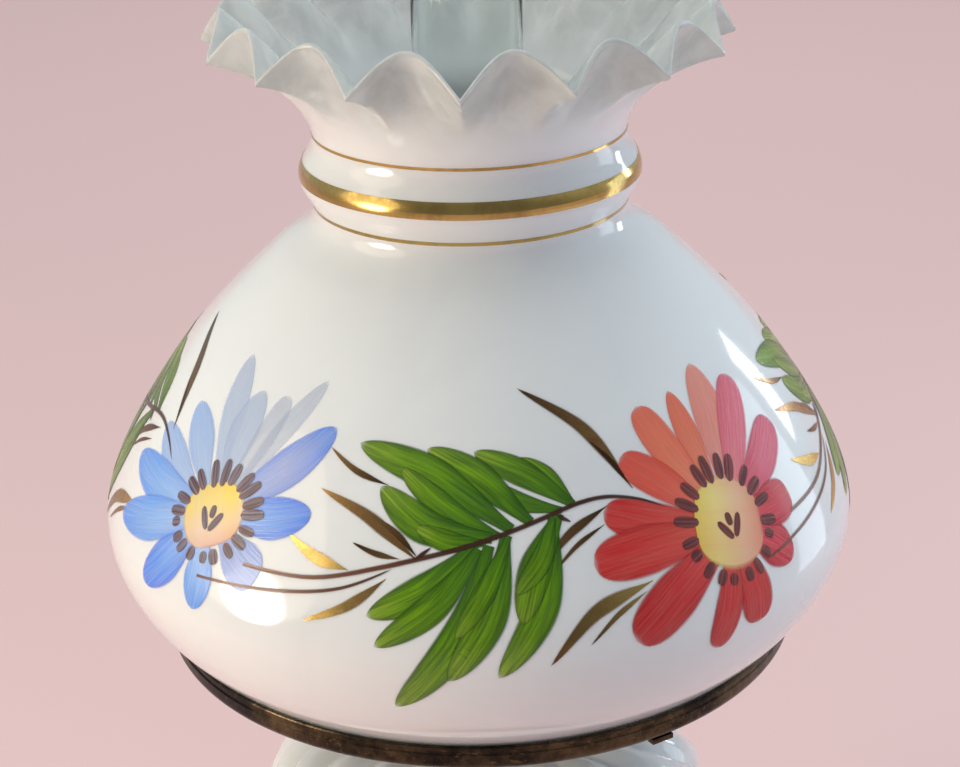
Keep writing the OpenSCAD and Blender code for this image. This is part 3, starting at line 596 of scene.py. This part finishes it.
# A flat drawing made of brush strokes; places are (degrees round from the front, millimetres up the glass)
class Drawing:
    def __init__(self):
        self.points, self.faces, self.tints, self.brushed = [], [], [], []
        self.strokes = 0

    # One brush stroke along a path; a path of two points is bent sideways by bend
    def stroke(self, path, width, form, tints, edge=None, edgeShare=0.5, cover=1.0, steps=20, across=8,
               layer=0.12, bend=0.0, grain=1.0):
        if len(path) == 2:
            (a, b), (c, d) = path
            size = radiusAt((b + d) / 2) * pi / 180
            x, y = (c - a) * size, d - b
            reach = hypot(x, y) or 1
            path = [path[0], ((a + c) / 2 - y / reach * bend / size, (b + d) / 2 + x / reach * bend), path[1]]
        spine = []
        for i in range(steps + 1):
            u = i / steps * (len(path) - 1)
            k = min(int(u), len(path) - 2)
            t = u - k
            p0, p1, p2, p3 = (path[max(0, min(len(path) - 1, k + j))] for j in (-1, 0, 1, 2))
            spine.append([0.5 * (2 * b + (c - a) * t + (2 * a - 5 * b + 4 * c - d) * t * t
                                 + (3 * b - a - 3 * c + d) * t ** 3) for a, b, c, d in zip(p0, p1, p2, p3)])
        first = len(self.points)
        gone = 0.0
        for i, (angle, way) in enumerate(spine):
            u = i / steps
            before, after = spine[max(0, i - 1)], spine[min(steps, i + 1)]
            size = radiusAt(way) * pi / 180
            x, y = (after[0] - before[0]) * size, after[1] - before[1]
            reach = hypot(x, y) or 1
            gone += reach / 2
            half = width / 2 * swell(form, u) + 0.05
            for j in range(across + 1):
                v = 2 * j / across - 1
                off = half * v
                self.points.append((radians(angle - y / reach * off / size), (way + x / reach * off) * mm,
                                    layer * mm))
                colour = stopAt(tints, u)
                if edge:
                    share = edgeShare * abs(v) ** 2.5
                    colour = [mix(a, b, share) for a, b in zip(colour, edge)]
                # the paint runs out at the stroke's sides and at its tip
                veil = cover * (0.0 if abs(v) == 1 else 1.0) * min(1.0, 9 * (1 - u) + 0.3)
                self.tints.append((colour[0], colour[1], colour[2], veil))
                self.brushed.append((gone * 0.1 * grain + self.strokes * 3.7,
                                     off * grain + self.strokes * 11.3))
        for i in range(steps):
            for j in range(across):
                a = first + i * (across + 1) + j
                self.faces.append((a, a + across + 1, a + across + 2, a + 1))
        self.strokes += 1

    def laid(self, name, finish, repeats, step):
        mesh = bpy.data.meshes.new(name)
        mesh.from_pydata(self.points, [], self.faces)
        paint = mesh.color_attributes.new("tint", "FLOAT_COLOR", "POINT")
        paint.data.foreach_set("color", [c for t in self.tints for c in t])
        brush = mesh.uv_layers.new(name="UVMap")
        brush.data.foreach_set("uv", [c for loop in mesh.loops for c in self.brushed[loop.vertex_index]])
        piece = grown(name, mesh, laying, {"Outline": outlineObject, "Repeats": repeats, "Step": step,
                                           "Finish": finish})
        outside = sum(p.normal.dot(Vector((p.center.x, p.center.y, 0))) * p.area for p in piece.data.polygons)
        if outside < 0:
            piece.data.flip_normals()
        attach(piece, "shade")
        return piece


# Petals: tip, width, colour, cover and form. Colours run from the heart outward; the last is the edge's.
flowers = {
    "blue": {
        "enamel": blueEnamel, "heart": (-44.6, 88.5), "heartHalves": (15.6, 11.5), "tilt": 28,
        "stamens": 20, "ring": (19.0, 15.0), "stamen": tone(82, 42, 34), "stamenPale": tone(112, 62, 46),
        "heartTints": evenly((232, 202, 60), (240, 214, 96), (236, 204, 156), (222, 162, 130)),
        "petals": [
            ((-68, 106), 15, "pale", 0.85, "lobe"), ((-54, 146), 13, "grey", 0.7, "lobe"),
            ((-31, 146), 9, "veil", 0.5, "lobe"), ((-61, 121), 15, "pale", 0.85, "lobe"),
            ((-45, 136), 15, "grey", 0.75, "lobe"), ((-38.5, 137), 10, "veil", 0.5, "petal"),
            ((-72, 89), 17, "mid", 0.9, "pointed"), ((-26, 130), 15, "lavender", 0.95, "pointed"),
            ((-56.5, 53), 18, "strong", 0.95, "pointed"), ((-26.5, 99.5), 16, "strong", 0.95, "pointed"),
            ((-44, 54), 15, "mid", 0.95, "pointed"), ((-33, 73), 18, "soft", 0.9, "petal"),
            ((-69, 67), 18, "mid", 0.9, "pointed")],
        "colours": {
            "strong": ((150, 186, 244), (100, 158, 246), (46, 122, 240), (26, 88, 230)),
            "mid": ((170, 200, 244), (122, 176, 246), (70, 146, 244), (64, 134, 240)),
            "pale": ((178, 202, 238), (164, 194, 238), (150, 184, 238), (140, 174, 234)),
            "grey": ((182, 204, 236), (186, 204, 232), (190, 204, 226), (176, 196, 228)),
            "veil": ((192, 208, 232), (196, 206, 224), (190, 198, 216), (184, 196, 218)),
            "soft": ((160, 180, 232), (150, 172, 232), (150, 176, 236), (120, 150, 230)),
            "lavender": ((158, 184, 236), (156, 172, 226), (92, 146, 240), (50, 108, 232))}},
    "red": {
        "enamel": redEnamel, "heart": (40.4, 84.5), "heartHalves": (17, 15.5), "tilt": 75,
        "stamens": 20, "ring": (20.0, 19.0), "stamen": tone(72, 38, 48), "stamenPale": tone(98, 56, 66),
        "heartTints": evenly((230, 208, 70), (242, 224, 140), (238, 196, 158), (222, 140, 116)),
        "petals": [
            ((39.5, 135), 11, "orange", 0.9, "lobe"), ((48.6, 141), 17, "salmon", 0.85, "lobe"),
            ((56.5, 131), 15, "pink", 0.95, "petal"), ((60.5, 109), 16, "magenta", 0.95, "petal"),
            ((31, 133), 14, "orange", 0.95, "petal"), ((24.5, 117), 14, "coral", 0.95, "petal"),
            ((19.5, 100), 15, "red", 0.95, "petal"), ((16.5, 83), 18, "red", 0.95, "petal"),
            ((51, 62), 18, "crimson", 0.95, "pointed"), ((55.5, 83), 17, "crimson", 0.95, "petal"),
            ((41.5, 46), 17, "deep", 0.95, "petal"), ((21, 55), 19, "deep", 0.95, "petal"),
            ((33.5, 43), 13, "deep", 0.95, "petal")],
        "colours": {
            "red": ((222, 92, 80), (214, 54, 50), (204, 28, 34), (176, 14, 28)),
            "deep": ((220, 80, 76), (204, 36, 44), (186, 16, 32), (158, 6, 24)),
            "coral": ((236, 122, 96), (230, 96, 74), (226, 80, 62), (216, 60, 52)),
            "orange": ((242, 150, 116), (238, 128, 94), (234, 114, 86), (226, 96, 74)),
            "salmon": ((240, 172, 158), (240, 150, 132), (240, 158, 140), (234, 130, 112)),
            "pink": ((236, 146, 152), (226, 112, 132), (218, 92, 122), (210, 66, 106)),
            "magenta": ((228, 112, 130), (214, 76, 110), (204, 52, 98), (188, 28, 78)),
            "crimson": ((222, 90, 104), (206, 46, 72), (194, 20, 54), (168, 6, 38))}}}


def paintFlower(name, look):
    drawing = Drawing()
    heart = look["heart"]
    size = radiusAt(heart[1]) * pi / 180

    def spot(x, y):                          # millimetres from the heart
        return heart[0] + x / size, heart[1] + y

    for k, (tip, width, hue, cover, form) in enumerate(look["petals"]):
        x, y = (tip[0] - heart[0]) * size, tip[1] - heart[1]
        reach = hypot(x, y)
        *along, edge = look["colours"][hue]
        drawing.stroke([spot(x / reach * 11, y / reach * 11), tip], width, form, evenly(*along), tone(*edge),
                       0.7, cover, 26, 14, 0.12 + 0.008 * k, bend=(-1) ** k)
    tilt = radians(look["tilt"])
    longHalf, shortHalf = look["heartHalves"]
    away = (sin(tilt), -cos(tilt))            # from the yellow side to the salmon side
    ends = [spot(s * away[0] * shortHalf, s * away[1] * shortHalf) for s in (-1, 1)]
    drawing.stroke(ends, 2 * longHalf, "oval", look["heartTints"], steps=28, across=16, layer=0.3, grain=0.12)
    brown = look["stamen"]
    anther = [(0, look["stamenPale"]), (0.4, brown), (1, brown)]
    for k in range(look["stamens"]):
        turn = 2 * pi * (k + 0.12 * sin(k * 2.4)) / look["stamens"]
        u, v = look["ring"][0] * cos(turn), look["ring"][1] * sin(turn)
        x, y = u * cos(tilt) - v * sin(tilt), u * sin(tilt) + v * cos(tilt)
        reach = hypot(x, y)
        # the stamens are longer toward the top
        long = 7.0 + 1.0 * sin(k * 1.7) + (3.0 if y > 4 else 1.0 if y > -6 else -1.6)
        near, far = (reach - long / 2) / reach, (reach + long / 2) / reach
        drawing.stroke([spot(x * near, y * near), spot(x * far, y * far)], 4.2 + 0.5 * sin(k * 3.1), "oval",
                       anther, steps=10, layer=0.36)
    for x0, y0, x1, y1 in ((-5.5, 1.5, -0.6, -6), (5, 2, 0.4, -6), (-0.2, 3.5, 0, -1.5)):
        drawing.stroke([spot(x0, y0), spot(x1, y1)], 3.4, "oval", [(0, brown), (1, brown)], steps=8,
                       across=6, layer=0.36)
    return drawing.laid(name, look["enamel"], 2, pi)


paintFlower("painted_blue_flowers", flowers["blue"])
paintFlower("painted_red_flowers", flowers["red"])

leafTints = evenly((60, 112, 0), (96, 150, 0), (120, 168, 6), (162, 194, 62))
leafEdge = tone(14, 70, 0)
# Leaf strokes: foot on the stem, tip, width, bend
leafStrokes = [
    ((15, 104.5), (6.9, 122), 8, -1.5), ((15, 104.5), (-0.5, 125), 10, -2.0),
    ((13, 103), (-1.5, 117), 8, 2.0), ((8, 100), (-8.6, 126), 12, -3.0),
    ((5, 98), (-20.8, 126), 13, -5.0), ((3, 96), (-12.8, 119), 9, 1.5),
    ((2, 95.5), (-15.8, 112), 13, 5.0), ((1, 94), (-9.5, 99), 8, 2.0), ((-1, 92.5), (-15.6, 68), 12, 2.5),
    ((0, 92), (-14.3, 58), 11, 3.0), ((1.5, 93), (-11.8, 34), 13, 5.0), ((4, 96), (-4.4, 47), 13, 4.0),
    ((4.5, 96), (-3.4, 62), 8, 1.0), ((11.5, 101), (2.2, 48), 12, 5.0), ((12.5, 102), (5.6, 66), 12, -2.5),
    ((11.5, 101), (5.0, 76), 8, 2.0)]
leaves = Drawing()
for k, (foot, tip, width, bend) in enumerate(leafStrokes):
    leaves.stroke([foot, tip], width, "lobe", leafTints, leafEdge, 0.85, 1.0, 28, 14, 0.12 + 0.008 * k,
                  bend=bend)
leaves.laid("painted_leaves", leafEnamel, 4, pi / 2)

stemDark, stemRed = tone(66, 34, 20), tone(138, 84, 58)
stemTints = [(0, stemRed), (0.4, stemDark), (1, stemDark)]
stems = Drawing()
stems.stroke([(-36, 76.5), (-24.6, 78), (-14.5, 84.5), (-9.4, 88), (0, 94), (10, 101), (15.8, 104.5),
              (20.8, 105), (25.9, 102), (30, 97)], 2.1, "stem", stemTints, steps=60, across=4, layer=0.24)
stems.stroke([(-44, 66.5), (-29.6, 71), (-20, 76), (-12.5, 84.5)], 1.5, "stem", [(0, stemRed), (1, stemDark)],
             steps=30, across=4, layer=0.24)
for thorn in ([(-9.4, 88), (-7, 92.5)], [(12, 101.5), (14.2, 98.6)]):
    stems.stroke(thorn, 1.8, "blade", [(0, stemDark), (1, stemDark)], steps=8, across=4, layer=0.26)
stems.laid("painted_stems", stemEnamel, 4, pi / 2)

# the brightest of these golds is partly a painted highlight
goldAndHighlight, goldBrown, goldDark = tone(238, 202, 120), tone(172, 132, 80), tone(76, 54, 34)
# Gilt blades: foot, tip, width, bend, colour at the foot and at the tip. The brightest gold, at the feet of
# some blades, is gilt with a painted highlight on it.
bladeStrokes = [
    ((-9, 88), (-26, 108.5), 5.2, -3.0, goldBrown, goldBrown),
    ((-9, 89), (-16.7, 102), 2.4, -1.5, goldDark, goldBrown),
    ((-11.6, 88), (-19, 92), 2.4, 0.8, goldBrown, goldDark),
    ((-14.5, 112.5), (-26, 123), 2.6, 1.5, goldDark, goldBrown),
    ((-19, 82.5), (-29.6, 91), 5.0, 1.6, goldAndHighlight, goldAndHighlight),
    ((-13.3, 81), (-24.9, 63), 4.2, 2.0, goldBrown, goldAndHighlight),
    ((25.4, 106), (8.3, 147), 5.4, -6.0, goldBrown, goldDark),
    ((25, 107.5), (20.0, 125), 2.0, -1.0, goldDark, goldDark),
    ((20.3, 102), (8.5, 83.5), 3.6, -2.5, goldDark, goldBrown),
    ((19.3, 96), (10.5, 82.5), 1.9, -1.5, goldDark, goldBrown),
    ((24.8, 74), (9.0, 51), 6.0, -5.5, goldAndHighlight, goldDark),
    ((23.6, 71), (14.6, 56.5), 2.2, -1.5, goldAndHighlight, goldDark)]
blades = Drawing()
for k, (foot, tip, width, bend, near, far) in enumerate(bladeStrokes):
    blades.stroke([foot, tip], width, "blade", [(0, near), (1, far)], steps=22, across=6,
                  layer=0.16 + 0.01 * (k % 3), bend=bend)
blades.laid("gilt_blades", bladeGold, 4, pi / 2)
bpy.data.objects.remove(outlineObject)
print("shade painted and gilt")

# Chimney, up from its foot
chimneySizes = {"foot": 37.5, "bulb": 45.5, "flue": 20.5, "height": 305.0, "wall": 1.8}


def chimneyLoop(sizes):
    foot, bulb, flue, wall = sizes["foot"], sizes["bulb"], sizes["flue"], sizes["wall"]
    line = [(foot, 0.0), (foot, 7), (foot, 14)]
    onward(line, (foot, 28), (bulb, 42), (bulb, 72), 16)
    onward(line, (bulb, 112), (flue, 130), (flue, 185), 24)
    line += [(flue, 225), (flue, 265), (flue, sizes["height"] - wall / 2)]
    inner = insetLine(line, wall)
    half = wall / 2
    tip = [(flue - half + half * cos(pi * k / 6), sizes["height"] - half + half * sin(pi * k / 6))
           for k in range(1, 6)]
    return line + tip + inner[::-1]


turned("chimney_glass", "chimney", "chimney_glass", chimneyGlass, chimneyLoop(chimneySizes),
       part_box("chimney")[0][2] / mm, corner=50, columns=96, stands=["chimney"])

# Font, up from the rim of the cup
fontSizes = {"bowl": 98.0, "height": 115.0, "wall": 4.5, "ribs": 22, "ribDepth": 3.0, "ribTwist": 75.0,
             "neck": 27.0, "neckWall": 5.0, "neckHeight": 4.0, "peg": 20.0, "pegDrop": 14.0}


def fontLoop(sizes):
    wide, tall = sizes["bowl"] - sizes["ribDepth"], sizes["height"]
    middle, neck, bore = tall * 0.47, sizes["neck"], sizes["neck"] - sizes["neckWall"]
    line = [(sizes["peg"] + 6, 0.0)]
    onward(line, (wide * 0.66, 0), (wide, middle * 0.42), (wide, middle), 26)
    onward(line, (wide, mix(middle, tall, 0.52)), (wide - 5, tall), (neck + 7, tall), 26)
    outer = []
    for i, (p, n) in enumerate(zip(line, sides(line))):
        lift = sizes["ribDepth"] * min(1, 3.2 * sin(pi * i / (len(line) - 1)))
        outer.append((p[0], p[1], lift, n, -sizes["ribTwist"] * p[1] / tall))
    inner = [p for p in insetLine(line, sizes["wall"]) if p[0] > bore or p[1] < tall / 2]
    turn = -sizes["ribTwist"]
    lid = [(r, z, 0, (0, 0), turn) for r, z in ((neck, tall), (neck, tall + sizes["neckHeight"]),
                                                 (bore, tall + sizes["neckHeight"]), (bore, inner[-1][1]))]
    inside = [(r, z, 0, (0, 0), turn * z / tall) for r, z in inner[::-1]]
    peg = [(0, inner[0][1]), (0, -sizes["pegDrop"]), (sizes["peg"], -sizes["pegDrop"]), (sizes["peg"], 0)]
    return outer + lid + inside + peg


turned("font_glass_bowl", "lamp_base", "font_milk_glass", fontGlass, fontLoop(fontSizes),
       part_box("font_glass")[0][2] / mm + fontSizes["pegDrop"], corner=48, columns=264, stands=["font_glass"],
       Waves=float(fontSizes["ribs"]), **{"Wave Gain": 1.0, "Wave Phase": pi / 2})
print("chimney and font blown")

# Foot, stem, cup and holder ring

footSizes = {"radius": 86.0, "height": 32.0, "wall": 3.0, "band": 5.0, "top": 20.5, "flange": 18.0,
             "rod": 4.0}


def footLoop(sizes):
    def line(drop):
        edge, top, band, neck = sizes["radius"] - drop, sizes["height"] - drop, sizes["band"], sizes["top"]
        out = [(edge, 0), (edge, band - drop)]
        onward(out, (edge, band + 4 - drop), (sizes["radius"] * 0.85, band + 5 - drop),
               (sizes["radius"] * 0.68, band + 6 - drop), 14)
        onward(out, (sizes["radius"] * 0.45, band + 8 - drop), (neck + 9, top - 8), (neck + 4, top - 3), 18)
        return out + [(neck, top - 3), (neck, top), (sizes["rod"], top)]
    inside = [p for p in line(sizes["wall"]) if p[1] > sizes["wall"] + 0.2]
    hole = sizes["radius"] - sizes["flange"]
    return line(0) + inside[::-1] + [(hole + 8, sizes["wall"]), (hole, sizes["wall"]), (hole, 0)]


turned("foot_brass", "lamp_base", "cast_brass", castBrass, footLoop(footSizes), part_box("foot")[0][2] / mm,
       columns=160, stands=["foot"])

stemSizes = {"waist": 11.5, "spool": 13.0, "knop": 23.0, "knopHeight": 26.0, "rod": 4.0}


def spoolLoop(sizes, flipped):
    waist, tall, wide = sizes["waist"], sizes["spool"], sizes["waist"] + 6
    line = [(sizes["rod"], 0), (wide, 0)]
    onward(line, (wide + 1.5, tall * 0.1), (wide + 1.5, tall * 0.2), (wide - 1, tall * 0.24), 10)
    onward(line, (waist, tall * 0.35), (waist, tall * 0.6), (waist + 1, tall * 0.8), 14)
    onward(line, (waist + 4, tall * 0.82), (waist + 4, tall * 0.98), (waist + 1, tall), 10)
    line += [(sizes["rod"], tall)]
    return [(r, tall - z) for r, z in line] if flipped else line


def knopLoop(sizes):
    small, tall, wide, rod = sizes["waist"] + 2, sizes["knopHeight"], sizes["knop"], sizes["rod"]
    line = [(rod, 0), (small, 0), (small, tall * 0.12)]
    onward(line, (wide * 1.02, tall * 0.16), (wide * 1.1, tall * 0.42), (wide, tall * 0.56), 18)
    onward(line, (wide * 0.88, tall * 0.74), (small + 4, tall * 0.84), (small, tall * 0.88), 14)
    return line + [(small, tall), (rod, tall)]


for name, flipped in (("stem_spool_lower", False), ("stem_spool_upper", True)):
    turned(name + "_brass", "lamp_base", "turned_brass", turnedBrass, spoolLoop(stemSizes, flipped),
           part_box(name)[0][2] / mm, stands=[name])
turned("stem_knop_brass", "lamp_base", "turned_brass", turnedBrass, knopLoop(stemSizes),
       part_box("stem_knop")[0][2] / mm, stands=["stem_knop"])

cupSizes = {"height": 18.0, "floor": 4.0, "bore": 22.0, "rod": 4.0, "foot": 17.5, "bed": 0.5}


def cupLoop(sizes):
    bore, floor, rim = sizes["bore"], sizes["floor"], sizes["height"] - sizes["bed"]
    lip = bore + 9
    line = [(sizes["rod"], 0), (sizes["foot"], 0)]
    onward(line, (bore - 1, 0), (bore + 2.5, floor * 0.2), (bore + 2.5, floor), 12)
    onward(line, (bore + 2.5, sizes["height"] * 0.6), (lip - 1, rim - 6), (lip, rim - 2.5), 14)
    return line + [(lip, rim), (bore, rim), (bore, floor), (sizes["rod"], floor)]


turned("font_cup_brass", "lamp_base", "cast_brass", castBrass, cupLoop(cupSizes),
       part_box("font_cup")[0][2] / mm, stands=["font_cup"])

ringSizes = {"bore": 124.9, "wall": 1.6, "height": 10.5, "round": 4.0, "bead": 1.1, "ledge": 111.8,
             "shelf": 1.6}


def ringLoop(sizes):
    outside = sizes["bore"] + sizes["wall"]
    corner, bead, low, curve = outside - sizes["round"], sizes["bead"], -sizes["height"], sizes["round"]
    line = [(sizes["ledge"], low), (corner, low)]
    line += [(corner + curve * sin(pi * i / 24), low + curve * (1 - cos(pi * i / 24))) for i in range(1, 13)]
    groove = ((0, 2.6), (0.5, 2.2), (0.5, 1.2), (0, 0.8))        # depth, and way below the bead
    line += [(outside - deep, -bead - down) for deep, down in groove]
    line += [(outside - bead * (1 - cos(pi * i / 12)) * 0.7, -bead + bead * sin(pi * i / 12))
             for i in range(0, 13)]
    shelf = low + sizes["shelf"]
    return line + [(sizes["bore"], -bead), (sizes["bore"], shelf), (sizes["ledge"], shelf)]


turned("holder_ring_bronze", "burner", "holder_bronze", holderBronze, ringLoop(ringSizes), ringTop / mm,
       columns=256, stands=["holder_ring"])
print("brass turned")

# The other pieces keep their own shape and take a finish

finishes = [
    (felt, ["foot_felt"]), (plaster, ["font_cement", "collar_cement"]), (wickCotton, ["wick"]),
    (steel, ["rod_washer", "rod_nut", "tie_rod", "wick_shaft", "wick_wheels"]),
    (collarBrass, ["font_collar"]), (turnedBrass, ["wick_knob"]), (springBrass, ["gallery_springs"]),
    (burnerBrass, ["burner_sleeve", "burner_basket", "draft_plate", "wick_tube", "shaft_bush",
                   "gallery_plate", "flame_dome"]),
    (holderBronze, ["holder_hub", "holder_rivets", "holder_arm_1", "holder_arm_2", "holder_arm_3"])]
for finish, names in finishes:
    for name in names:
        for slot in nodes[name].material_slots:
            slot.material = finish
        if not nodes[name].material_slots:
            nodes[name].data.materials.append(finish)
print("finishes given to", sum(len(names) for _, names in finishes), "packed pieces")

# Floor and room
stageLook = {"floor": 9.0, "floorTone": tone(216, 187, 186), "skyFront": (0.19, 0.195, 0.21, 1),
             "skyBack": (0.52, 0.54, 0.57, 1)}
floorMesh = bpy.data.meshes.new("floor")
half = stageLook["floor"]
corners = [(-half, -half, 0), (half, -half, 0), (half, half, 0), (-half, half, 0)]
floorMesh.from_pydata(corners, [], [(0, 1, 2, 3)])
floor = bpy.data.objects.new("floor", floorMesh)
bpy.context.collection.objects.link(floor)
floorMaterial, start = emptyMaterial("floorPaint")
finished(start, surface(start, {"Base Color": stageLook["floorTone"], "Roughness": 0.85,
                                "Specular IOR Level": 0.1}))
floorMesh.materials.append(floorMaterial)

world = bpy.data.worlds.new("softRoom")
world.use_nodes = True
world.node_tree.nodes.clear()
start = Wire(world.node_tree)
_, depth, height = start.node("ShaderNodeTexCoord").parts()    # dimmer in front of the lamp than behind
room = (depth + height * 0.6).between(-0.6, 0.5).blend(stageLook["skyFront"], stageLook["skyBack"])
background = start.node("ShaderNodeBackground", None, {"Color": room})
start.node("ShaderNodeOutputWorld", None, {"Surface": background})
bpy.context.scene.world = world
bpy.context.scene.view_settings.view_transform = "Standard"

middle = Vector((0, 0, ringTop + 0.08))
# Kind of light, where it stands from the middle of the shade (metres), width and height, power, colour,
# and whether it shows in the glass as a reflection
lamps = {
    "windowRight": ("AREA", (1.14, 0.37, -0.06), (0.35, 0.9), 1.7, (0.76, 0.88, 1.0), True),
    "windowHigh": ("AREA", (0.97, 0.65, 0.2), (0.13, 0.3), 0.8, (0.86, 0.93, 1.0), True),
    "lampLeft": ("AREA", (-0.95, -0.46, 0.07), (0.4, 0.4), 4.2, (1.0, 0.9, 0.74), True),
    "warmPanel": ("AREA", (-1.6, -0.6, 0.5), (1.4, 1.4), 9.0, (1.0, 0.84, 0.62), True),
    "coolSide": ("AREA", (1.5, -0.5, 0.1), (1.2, 1.2), 5.6, (0.5, 0.78, 1.0), False),
    "softTop": ("SUN", (0.25, 0.3, 2.4), (1.1, 0), 1.2, (0.99, 1.0, 0.98), False),
    "backSoft": ("AREA", (0.5, 2.2, 1.4), (1.6, 1.4), 6.0, (0.95, 0.97, 1.0), False)}
for name, (kind, place, size, power, colour, mirrored) in lamps.items():
    data = bpy.data.lights.new(name, kind)
    if kind == "SUN":
        data.angle = size[0]
    else:
        data.shape = "ELLIPSE" if name in ("lampLeft", "warmPanel") else "RECTANGLE"
        data.size, data.size_y = size
    data.energy = power
    data.color = colour
    lamp = bpy.data.objects.new(name, data)
    lamp.location = middle + Vector(place)
    lamp.rotation_euler = (-Vector(place)).to_track_quat("-Z", "Y").to_euler()
    lamp.visible_glossy = mirrored
    bpy.context.collection.objects.link(lamp)

# Where the camera stands (metres, the height above the ring), degrees down and of roll, and its lens
cameraLook = {"right": 0.0017, "front": 0.72, "above": 0.391, "down": 22.99, "roll": 1.37, "lens": 74.4}
cameraData = bpy.data.cameras.new("camera")
cameraData.sensor_width = 36
cameraData.lens = cameraLook["lens"]
cameraData.clip_start = 0.01
camera = bpy.data.objects.new("camera", cameraData)
bpy.context.collection.objects.link(camera)
place = (cameraLook["right"], -cameraLook["front"], ringTop + cameraLook["above"])
tipped, rolled = radians(90 - cameraLook["down"]), radians(-cameraLook["roll"])
camera.matrix_world = (Matrix.Translation(place) @ Matrix.Rotation(tipped, 4, "X")
                       @ Matrix.Rotation(rolled, 4, "Z"))
bpy.context.scene.camera = camera
print("floor, lights and camera placed")
